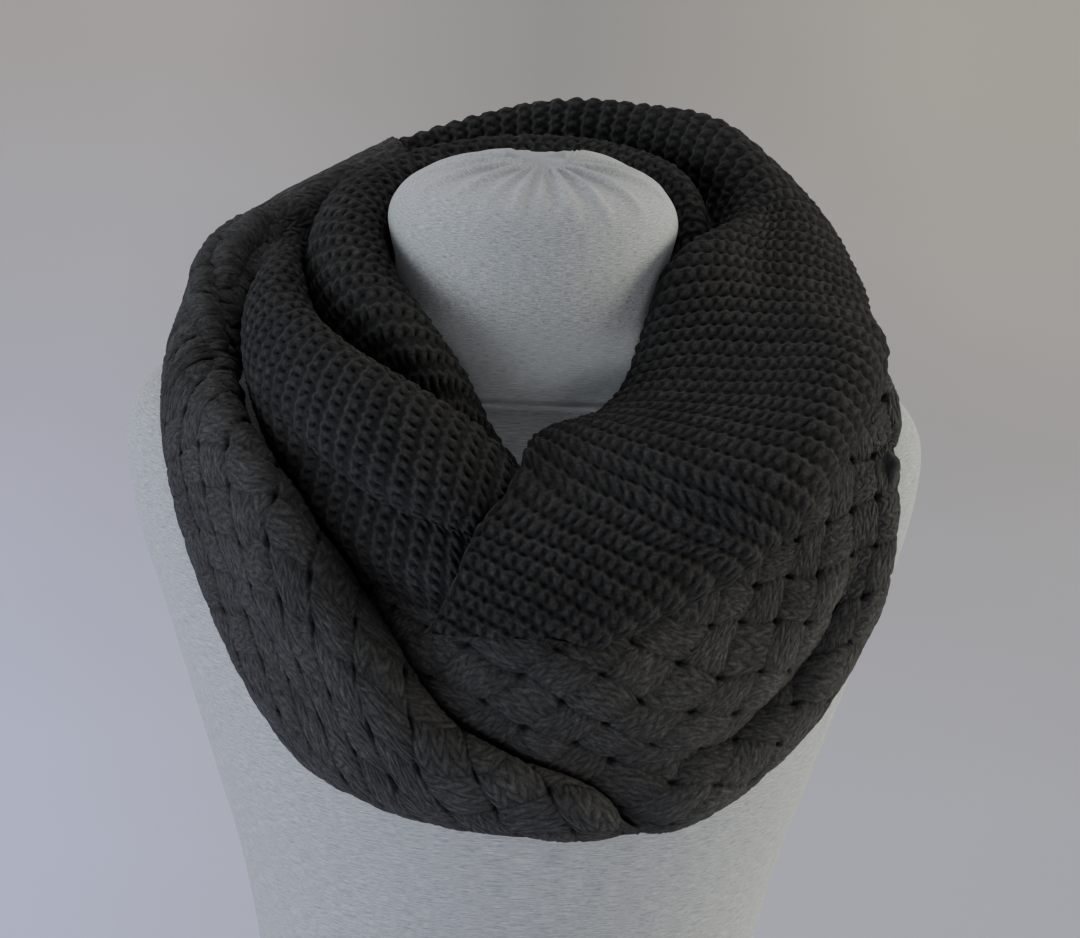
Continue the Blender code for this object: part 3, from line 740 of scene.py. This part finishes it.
# A gather is a soft rib of cloth that runs out from there: its direction (0 is +X), how wide it
# spreads in degrees, how high it stands, and how far out it runs.
GATHERS = (
    (2, 7, 3.6, 66),
    (20, 6, 4.2, 62),
    (40, 8, 6.0, 56),
    (62, 6, 4.6, 50),
    (84, 8, 3.6, 44),
    (108, 9, 3.6, 46),
    (130, 11, 4.4, 54),
    (154, 6, 4.4, 60),
    (173, 6, 3.6, 64),
    (196, 5, 3.8, 66),
    (215, 6, 3.2, 56),
    (236, 5, 2.8, 46),
    (254, 5, 3.4, 52),
    (271, 5, 3.0, 48),
    (290, 6, 3.6, 52),
    (311, 5, 3.0, 58),
    (334, 6, 3.6, 62),
)


def gathers(points):
    """How far the gathers raise the form's cap, and how far it sinks where they meet."""
    from_x, from_y = points[..., 0] - GATHER_AT[0], points[..., 1] - GATHER_AT[1]
    direction = np.degrees(np.arctan2(from_y, from_x))
    drop = RIM_HEIGHT - points[..., 2]
    gone = np.hypot(from_x, from_y) + np.clip(drop - GATHER_TURN, 0, None)
    rise = -MEETING_DEPTH * bell(gone, MEETING_REACH)
    for towards, spread, height, reach in GATHERS:
        apart = (direction - towards + 180) % 360 - 180
        narrow = spread * (0.45 + 0.55 * np.exp(-gone / 40))
        along = np.clip(gone / 9, 0, 1) * np.clip((reach - gone) / 34, 0, 1)
        rise += height * along * bell(apart, narrow)
    return rise


def fine_form(material):
    """The form's solid with more points, gathers on its cap and a seam round its neck."""
    rings = np.array(FORM_RINGS, float)
    rows = resampled(rings, np.linspace(0, len(rings) - 1, (len(rings) - 1) * FINE_RINGS + 1))
    points = np.array([ring(FINE_SIDES, *row) for row in rows])
    around = np.roll(points, -1, axis=1) - np.roll(points, 1, axis=1)
    normals = unit(np.cross(np.gradient(points, axis=0), around))
    below = RIM_HEIGHT - points[..., 2] - SEAM_DROP
    seam = SEAM_LIPS * bell(np.abs(below) - 2.0, 1.3) - SEAM_DEPTH * bell(below, 0.8)
    points = points + normals * (gathers(points) + seam)[..., None]
    count, sides = points.shape[:2]
    quads = grid_faces(count, sides, closed=True)[:, DOWN_FIRST]
    flat = points.reshape(-1, 3)
    flat = np.concatenate([flat, [points[0].mean(axis=0), points[-1].mean(axis=0)]])
    next_one = np.roll(np.arange(sides), -1)
    cap, base, last = count * sides, count * sides + 1, (count - 1) * sides
    triangles = [(cap, a, b) for a, b in enumerate(next_one)]
    triangles += [(base, last + b, last + a) for a, b in enumerate(next_one)]
    triangles = np.array(triangles)
    girth, length = np.arange(sides)[None, :] * SIDE_STEP, distances(points[:, :1])[0]
    lay = np.stack(np.broadcast_arrays(girth, length), axis=-1).reshape(-1, 2)
    lay = np.concatenate([lay, np.zeros((2, 2))])
    return mesh_piece("form_body", flat, quads, triangles, material, lay)


# --- materials ---
class Shading:
    """A new material, with a short way to make each kind of node in it."""

    def __init__(self, name):
        self.material = bpy.data.materials.new(name)
        self.material.use_nodes = True
        self.nodes = self.material.node_tree.nodes
        self.where = self.add("TexCoord").outputs["Object"]

    def feed(self, node, inputs):
        """Give a node its inputs, each a value or another node's socket."""
        for name, value in inputs.items():
            if isinstance(value, bpy.types.NodeSocket):
                self.material.node_tree.links.new(value, node.inputs[name])
            else:
                node.inputs[name].default_value = value

    def add(self, kind, **inputs):
        made = self.nodes.new("ShaderNode" + kind)
        self.feed(made, inputs)
        return made

    def do(self, how, *values):
        """Arithmetic on sockets and numbers."""
        made = self.add("Math")
        made.operation = how
        self.feed(made, dict(enumerate(values)))
        return made.outputs[0]

    def times(self, *values):
        total = values[0]
        for value in values[1:]:
            total = self.do("MULTIPLY", total, value)
        return total

    def off_whole(self, value):
        """How far a value is from the nearest whole number."""
        return self.do("PINGPONG", value, 0.5)

    def noise(self, place, scale, detail=3.0, roughness=0.6):
        made = self.add("TexNoise", Vector=place, Scale=scale, Detail=detail, Roughness=roughness)
        return made.outputs["Fac"]

    def ramp(self, value, *stops):
        """A colour for each value. A stop is a place and its colour, or one number for a grey."""
        made = self.add("ValToRGB", Fac=value)
        elements = made.color_ramp.elements
        for element, (place, colour) in zip(elements, (stops[0], stops[-1])):
            element.position, element.color = place, (*np.broadcast_to(colour, 3), 1)
        for place, colour in stops[1:-1]:
            elements.new(place).color = (*np.broadcast_to(colour, 3), 1)
        return made.outputs["Color"]

    def mixed(self, how, share, first, second):
        made = self.add("Mix")
        made.data_type, made.blend_type = "RGBA", how
        self.feed(made, {"Factor": share, "A": first, "B": second})
        return made.outputs["Result"]

    def tinted(self, colour, *tints):
        for tint in tints:
            colour = self.mixed("MULTIPLY", 1.0, colour, tint)
        return colour

    def stretched(self, place, *scale):
        return self.add("Mapping", Vector=place, Scale=scale).outputs["Vector"]

    def bump(self, height, strength, distance, **under):
        made = self.add("Bump", Height=height, Strength=strength, Distance=distance, **under)
        return made.outputs["Normal"]

    def uv(self, name):
        made = self.add("UVMap")
        made.uv_map = name
        return made.outputs["UV"]

    def split(self, vector):
        parts = self.add("SeparateXYZ", Vector=vector)
        return parts.outputs["X"], parts.outputs["Y"]

    def laid(self):
        """Where the yarn lies, as the stitches are measured."""
        return self.split(self.stretched(self.uv("lay"), LAY_SCALE, LAY_SCALE, 1))

    def roughened(self, value, size, amount, *scale):
        """A coordinate that wanders a little, so that the stitches' edges are woolly."""
        place = self.stretched(self.where, *scale) if scale else self.where
        wander = self.do("SUBTRACT", self.noise(place, size, 2.0, 0.6), 0.5)
        return self.do("MULTIPLY_ADD", wander, amount, value)

    def spot(self, power, *parts, sharpness=1.0):
        """A soft spot: 1 where every part is 0. A part is a distance and its half size."""
        far = [self.do("POWER", self.do("DIVIDE", away, half), power) for away, half in parts]
        total = self.do("POWER", self.do("ADD", *far, 0.0), sharpness)
        return self.do("EXPONENT", self.times(total, -1.0))

    def finished(self, inputs):
        self.feed(self.nodes["Principled BSDF"], inputs)
        return self.material


def garter_height(made):
    """The garter stitch again, as sharp as the picture can show it: 0 in the gaps to 1. It sets the
    bump and the painted shade in the gaps.
    """
    do, spot, times = made.do, made.spot, made.times
    row, stitch = made.laid()
    open_hole, open_notch = made.split(made.uv("cell"))
    row = made.roughened(row, 330.0, 0.30)
    stitch = made.roughened(stitch, 350.0, 0.5, 1.0, 1.1, 0.9)
    c = made.off_whole(stitch)
    foot = do("SUBTRACT", 0.5, c)
    bow = do("COSINE", times(stitch, 2 * math.pi))

    def off(centre, r=row):
        return made.off_whole(do("SUBTRACT", r, centre))

    arc = spot(3.0, (off(ARC[0], do("MULTIPLY_ADD", bow, ARC[1], row)), ARC[2]))
    leg = spot(3.0, (off(LEG[0]), LEG[1]), (foot, LEG[2]))
    hole = spot(2.0, (off(HOLE[0]), HOLE[1]), (c, HOLE[2]))
    notch = spot(2.0, (off(NOTCH[0]), NOTCH[1]), (foot, NOTCH[2]))
    body = do("MULTIPLY_ADD", do("MAXIMUM", arc, leg), 0.5, 0.5)
    # painted shade in the holes under the arches and in the notches, darker where they are more
    # open
    dark = do("ADD", times(hole, open_hole, 0.65), times(notch, open_notch, 0.6))
    return times(body, do("SUBTRACT", 1.0, do("MINIMUM", dark, 1.0)))


# The material darkens each hole and its slit with painted shade.
HOLE_SPOTS = (0.10, 0.06), (0.26, 0.03)  # the half sizes of a hole, and of the slit beside it


def basket_height(made):
    """The cable's holes again, and the V of every stitch on its strands: 0 in the gaps to 1. It
    sets the bump and the painted shade in the gaps and holes.
    """
    do, times = made.do, made.times
    p, q = made.split(made.uv("cell"))
    across, run = made.laid()
    across = made.roughened(across, 210.0, 3.2)
    run = made.roughened(run, 170.0, 7.0, 1.0, 1.1, 0.9)
    p = made.off_whole(made.roughened(p, 130.0, 0.22))
    q = made.off_whole(made.roughened(q, 130.0, 0.22, 1.1, 1.0, 0.9))
    hole, slit = (made.spot(2.0, (p, a), (q, b), sharpness=1.2) for a, b in HOLE_SPOTS)
    hole = do("MAXIMUM", hole, times(slit, 0.6))
    column = do("FRACT", do("DIVIDE", across, WEAVE_CELL / CABLE_COLUMNS))
    column = do("ABSOLUTE", do("MULTIPLY_ADD", column, 2.0, -1.0))
    leg = do("MULTIPLY_ADD", column, V_SLANT, do("DIVIDE", run, CABLE_STITCH))
    leg = do("POWER", do("ABSOLUTE", do("SINE", times(leg, math.pi))), 0.6)
    side = do("MINIMUM", do("MULTIPLY_ADD", do("SUBTRACT", 1.0, column), 2.0, 0.55), 1.0)
    full = do("MULTIPLY_ADD", leg, times(side, 0.5), 0.5)
    # painted shade: a strand is darker along its edges and where it dives under the next
    for place, half, dark in ((across, 0.09, 0.22), (run, 0.22, 0.2)):
        near = do("DIVIDE", made.off_whole(do("DIVIDE", place, WEAVE_CELL)), half)
        full = times(full, do("MULTIPLY_ADD", do("MINIMUM", near, 1.0), dark, 1.0 - dark))
    # painted shade in the holes
    return times(full, do("MULTIPLY_ADD", hole, -0.95, 1.0))


def yarn(name, dark, light, sheen, woven):
    """Charcoal yarn, flecked, with a fuzzy sheen: painted shade deep between its strands and a
    painted highlight on their tops. Fibres run along the strands of the cable."""
    made = Shading(name)
    height = (basket_height if woven else garter_height)(made)
    # painted shade and highlight: nearly black in the deepest gaps, the shaded colour lower down
    # and the lit colour on the stitches' tops
    painted_shading = made.ramp(height, (0.0, [v * 0.2 for v in dark]), (0.4, dark), (1.0, light))
    low, high = (0.65, 1.5) if woven else (0.45, 1.9)
    fleck = made.noise(made.where, 480.0, 6.0, 0.8)
    patch = made.noise(made.where, 45.0, 2.0, 0.5)
    tints = [
        made.ramp(fleck, (0.33, low), (0.5, 1.0), (0.68, high)),
        made.ramp(patch, (0.3, 0.85), (0.7, 1.15)),
    ]
    normal = made.bump(height, 0.6 if woven else 0.7, 0.0008)
    twist = made.noise(made.where, 600.0, 5.0, 0.8)
    normal = made.bump(twist, 0.5 if woven else 0.8, 0.0014, Normal=normal)
    if woven:
        fibre = made.noise(made.stretched(made.uv("lay"), 60, 16, 1), 1.0)
        tints.append(made.ramp(fibre, (0.3, 0.66), (0.5, 1.0), (0.72, (1.5, 1.49, 1.48))))
        normal = made.bump(fibre, 0.45, 0.0010, Normal=normal)
    return made.finished({
        "Base Color": made.tinted(painted_shading, *tints), "Normal": normal,
        "Roughness": 0.95, "Specular IOR Level": 0.15,
        "Sheen Weight": sheen, "Sheen Roughness": 0.45, "Sheen Tint": (0.55, 0.55, 0.56, 1),
    })


def jersey():
    """Heather-grey jersey: short pale and dark flecks that run round the form."""
    made = Shading("heather_jersey")
    flat = made.uv("lay")
    streak = made.noise(made.stretched(flat, 22, 230, 1), 1.0, 4.0, 0.75)
    short = made.noise(made.stretched(flat, 70, 420, 1), 1.0, 3.0, 0.7)
    grain = made.noise(made.stretched(flat, 160, 520, 1), 1.0)
    colour = made.ramp(
        made.mixed("MIX", 0.45, streak, short),
        (0.34, (0.11, 0.12, 0.13)), (0.48, (0.34, 0.355, 0.36)), (0.62, (0.62, 0.63, 0.62)),
    )
    return made.finished({
        "Base Color": colour, "Normal": made.bump(grain, 0.25, 0.0004),
        "Roughness": 0.9, "Specular IOR Level": 0.2, "Sheen Weight": 0.15,
    })


def backdrop_material():
    """A pale wall and floor with painted light: painted warm light to the right, painted blue light
    to the left and below, and painted shade in the middle of the wall.
    """
    made = Shading("backdrop_painted_light")
    x, y = made.split(made.where)
    x = made.do("MULTIPLY_ADD", x, 0.9, 0.5)
    # painted light: the wall in painted shade in its middle and warmer to the right, the floor lit
    # blue to the left
    wall = made.ramp(
        x, (0.0, (0.47, 0.445, 0.42)), (0.5, (0.33, 0.32, 0.30)), (1.0, (0.47, 0.44, 0.385))
    )
    floor = made.ramp(
        x, (0.0, (0.60, 0.63, 0.98)), (0.5, (0.46, 0.465, 0.55)), (1.0, (0.37, 0.375, 0.44))
    )
    back = made.add("Clamp", Value=made.do("MULTIPLY_ADD", y, 0.5, -0.3)).outputs["Result"]
    cloudy = made.ramp(made.noise(made.where, 1.5, 2.0, 0.5), (0.35, 0.97), (0.65, 1.03))
    colour = made.tinted(made.mixed("MIX", back, floor, wall), cloudy)
    return made.finished({"Base Color": colour, "Roughness": 0.95, "Specular IOR Level": 0.1})


# --- putting it together ---
# The yarn's charcoal in painted shade, where its stitches lie low, and with a painted highlight on
# their tops.
GARTER_SHADED, GARTER_LIT = (0.0135, 0.0132, 0.0128), (0.033, 0.0323, 0.031)
CABLE_SHADED, CABLE_LIT = (0.021, 0.0206, 0.020), (0.050, 0.049, 0.0475)
garter_yarn = yarn("charcoal_garter_yarn", GARTER_SHADED, GARTER_LIT, 0.05, False)
cable_yarn = yarn("charcoal_cable_yarn", CABLE_SHADED, CABLE_LIT, 0.07, True)
cover = jersey()

body = form_surface()
neck = laid_out("neck_roll", [body])
right = laid_out("drape_right", [body])
right_face = top_surface(right, CABLE_FULL)
under = [body, top_surface(neck, GARTER_WALL), right_face]
chest = laid_out("chest_roll", under)
under.append(top_surface(chest, GARTER_WALL))
left = laid_out("drape_left", under)
outer = laid_out("outer_roll", under)

# What the solids leave out: chest_roll and drape_left reach a little further towards each other,
# and the tail of drape_left is drawn up a little towards its end. The shares are for the points
# in from the edge.
CHEST_REACH, CHEST_SHARES = 6.5, (1.0, 0.7, 0.4, 0.15)
LEFT_REACH, LEFT_REACH_AT, LEFT_SHARES = 5.0, 0.42, (1.0, 0.8, 0.5, 0.2)
TAIL_LIFT, TAIL_FROM = 5.5, 0.78
outward = unit(chest[:, -1] - chest[:, -3])
for inward, part in enumerate(CHEST_SHARES):
    chest[:, -1 - inward] += part * CHEST_REACH * outward
far = np.clip((np.linspace(0, 1, len(left)) - TAIL_FROM) / (1 - TAIL_FROM), 0, 1)
left[..., 2] += TAIL_LIFT * (far**1.5)[:, None] * np.linspace(0, 1, left.shape[1])[None, :]
along = np.linspace(0, 1, len(left))[:, None]
reach = LEFT_REACH * bell(along - LEFT_REACH_AT, 0.1)
for inward, part in enumerate(LEFT_SHARES):
    left[:, inward] += part * reach * unit(left[:, 0] - left[:, 3])

# The outer edge of outer_roll stands off in front, and drape_right is hollow beside and under it.
STAND_OFF, STAND_FROM, STAND_FADE = 8.0, 0.45, 0.15
HOLLOW, HOLLOW_HALF, HOLLOW_AT = 5.5, 8.0, 4.0
front = np.clip((np.linspace(0, 1, len(outer)) - STAND_FROM) / STAND_FADE, 0, 1)
beside = outer[:, -1] + HOLLOW_AT * unit(outer[:, -1] - outer[:, -3])
rim_line = [
    (*right_face.find_nearest(Vector(place))[0], HOLLOW * share)
    for place, share in zip(beside[::2], front[::2])
]
near_edge = np.clip((np.linspace(0, 1, outer.shape[1]) - 0.6) / 0.4, 0, 1) ** 1.5
outer = outer + grid_normals(outer) * (STAND_OFF * front[:, None] * near_edge)[..., None]

# Creases of drape_left behind the shoulder: x, y and height give their lines, and then how deep.
BEHIND_ROPE = (
    (-138, 42, 621, 2.0),
    (-145, 24, 615, 6.0),
    (-148, 6, 606, 8.0),
    (-145, -12, 595, 8.5),
    (-141, -25, 584, 8.0),
    (-136, -35, 573, 6.0),
    (-130, -43, 561, 3.0),
)
INSIDE_ROPE = (
    (-116, 37, 616, 0.5),
    (-121, 28, 613, 4.0),
    (-126, 19, 609, 6.0),
    (-131, 9, 603, 5.0),
    (-134, 1, 597, 1.0),
)

# The rows of outer_roll slant away from its sections: how far, as a share of the way across, at
# shares of its length, near its inner edge, in its middle and near its outer edge.
OUTER_SLANTS = (
    (0.00, 0.0, 0.0, 0.0),
    (0.50, 0.0, 0.0, 0.0),
    (0.56, 0.20, 0.22, 0.15),
    (0.60, 0.20, 0.0, -0.20),
    (0.64, -0.05, -0.18, -0.50),
    (0.68, -0.15, -0.25, -0.60),
    (0.72, -0.13, -0.20, -0.50),
    (0.77, -0.25, -0.10, -0.25),
    (0.83, -0.38, -0.12, -0.05),
    (0.88, -0.46, -0.20, -0.10),
    (0.92, -0.55, -0.40, -0.15),
    (1.00, -0.75, -0.60, -0.45),
)
LEFT_STRANDS = ((11.0, 12.5), (23.5, -14.5))
RIGHT_STRANDS = ((20.3, 9.0), (16.7, -12.5))

pieces = {
    "neck_roll": knitted(
        "cloth_neck_roll", neck, GARTER_WALL, garter, 11, garter_yarn, 0.95, ridge=-8.6, turned=38.0
    ),
    "chest_roll": knitted(
        "cloth_chest_roll", chest, GARTER_WALL, garter, 23, garter_yarn, 0.85, ridge=-9.2
    ),
    "outer_roll": knitted(
        "cloth_outer_roll", outer, GARTER_WALL, garter, 37, garter_yarn, 1.04, coarse=(0.45, 1.6),
        ridge=10.0, slants=OUTER_SLANTS, open_hole=0.75, open_notch=1.1, swell=0.8,
    ),
    "drape_left": knitted(
        "cloth_drape_left", left, CABLE_WALL, basket, 41, cable_yarn, 0.95, end_taper=30.0,
        strands=LEFT_STRANDS, gap=(0.17, 0.045), plain_until=150.0,
        creases=((2.6, 0.45, BEHIND_ROPE), (4.5, 0.3, INSIDE_ROPE)),
    ),
    "drape_right": knitted(
        "cloth_drape_right", right, CABLE_WALL, basket, 53, cable_yarn, 1.19,
        strands=RIGHT_STRANDS, gap=(0.11, 0.085), creases=((HOLLOW_HALF, 0.5, rim_line),),
    ),
}
form = fine_form(cover)
for node, piece in [*pieces.items(), ("dress_form", form)]:
    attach(piece, "root")
    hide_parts(node)

# --- floor and backdrop: one sweep ---
FLOOR_WIDTH, FLOOR_FRONT, WALL_AT, WALL_TOP, BEND, BEND_STEPS = 12.0, -4.0, 3.3, 3.4, 1.6, 16
profile = [(FLOOR_FRONT, 0.0)]
for step in range(BEND_STEPS + 1):
    a = math.radians(90 * step / BEND_STEPS)
    profile.append((WALL_AT - BEND + BEND * math.sin(a), BEND - BEND * math.cos(a)))
profile.append((WALL_AT, WALL_TOP))
sweep_points = [(x, y, z) for y, z in profile for x in (-FLOOR_WIDTH / 2, FLOOR_WIDTH / 2)]
sweep_mesh = bpy.data.meshes.new("backdrop")
sweep_mesh.from_pydata(
    sweep_points, [], [(2 * i, 2 * i + 1, 2 * i + 3, 2 * i + 2) for i in range(len(profile) - 1)]
)
sweep = linked(sweep_mesh, backdrop_material())


# --- light and camera ---
def area_light(name, place, target, size, watts, colour):
    data = bpy.data.lights.new(name, "AREA")
    data.shape = "RECTANGLE"
    data.size, data.size_y = size
    data.energy = watts
    data.color = colour
    lamp = bpy.data.objects.new(name, data)
    lamp.location = place
    lamp.rotation_mode = "QUATERNION"
    lamp.rotation_quaternion = (Vector(target) - Vector(place)).to_track_quat("-Z", "Y")
    bpy.context.scene.collection.objects.link(lamp)


area_light("window_left", (-2.3, -0.9, 0.85), (0, 0, 0.5), (1.6, 1.3), 45, (0.84, 0.91, 1.0))
area_light("window_right", (2.3, 0.1, 0.68), (0, 0, 0.5), (1.5, 1.1), 52, (1.0, 0.985, 0.82))
area_light("ceiling", (0.0, 0.4, 2.4), (0, 0, 0.4), (1.8, 1.8), 3, (1.0, 0.99, 0.97))
area_light("low_fill", (0.0, -2.2, 0.1), (0, 0, 0.45), (1.6, 0.5), 18, (0.97, 0.98, 1.0))
area_light("backdrop_light", (0.0, 0.8, 3.0), (0, 2.3, 0.0), (4.0, 1.2), 65, (0.98, 0.96, 1.0))
world = bpy.data.worlds.new("room")
world.use_nodes = True
background = world.node_tree.nodes["Background"]
background.inputs["Color"].default_value = (0.93, 0.95, 1.0, 1)
background.inputs["Strength"].default_value = 0.13
bpy.context.scene.world = world

PITCH, ROLL = math.radians(18.0), math.radians(2.4)
DISTANCE, FOCAL = 1.25, 2625.0  # metres to the aim, and pixels in a view 1080 wide
SENSOR = 36.0
AIM = Vector((0.008, NECK_BACK * MM, (RIM_HEIGHT - 140.7) * MM))
forward = Vector((0, math.cos(PITCH), -math.sin(PITCH)))
level_up, level_right = Vector((0, math.sin(PITCH), math.cos(PITCH))), Vector((1, 0, 0))
view_right = level_right * math.cos(ROLL) + level_up * math.sin(ROLL)
view_up = level_up * math.cos(ROLL) - level_right * math.sin(ROLL)
camera = bpy.data.objects.new("camera", bpy.data.cameras.new("camera"))
camera.data.sensor_width = SENSOR
camera.data.lens = SENSOR * FOCAL / 1080
camera.data.clip_start, camera.data.clip_end = 0.05, 30
turned = Matrix((view_right, view_up, -forward)).transposed()
camera.matrix_world = Matrix.Translation(AIM - forward * DISTANCE) @ turned.to_4x4()
bpy.context.scene.collection.objects.link(camera)
bpy.context.scene.camera = camera
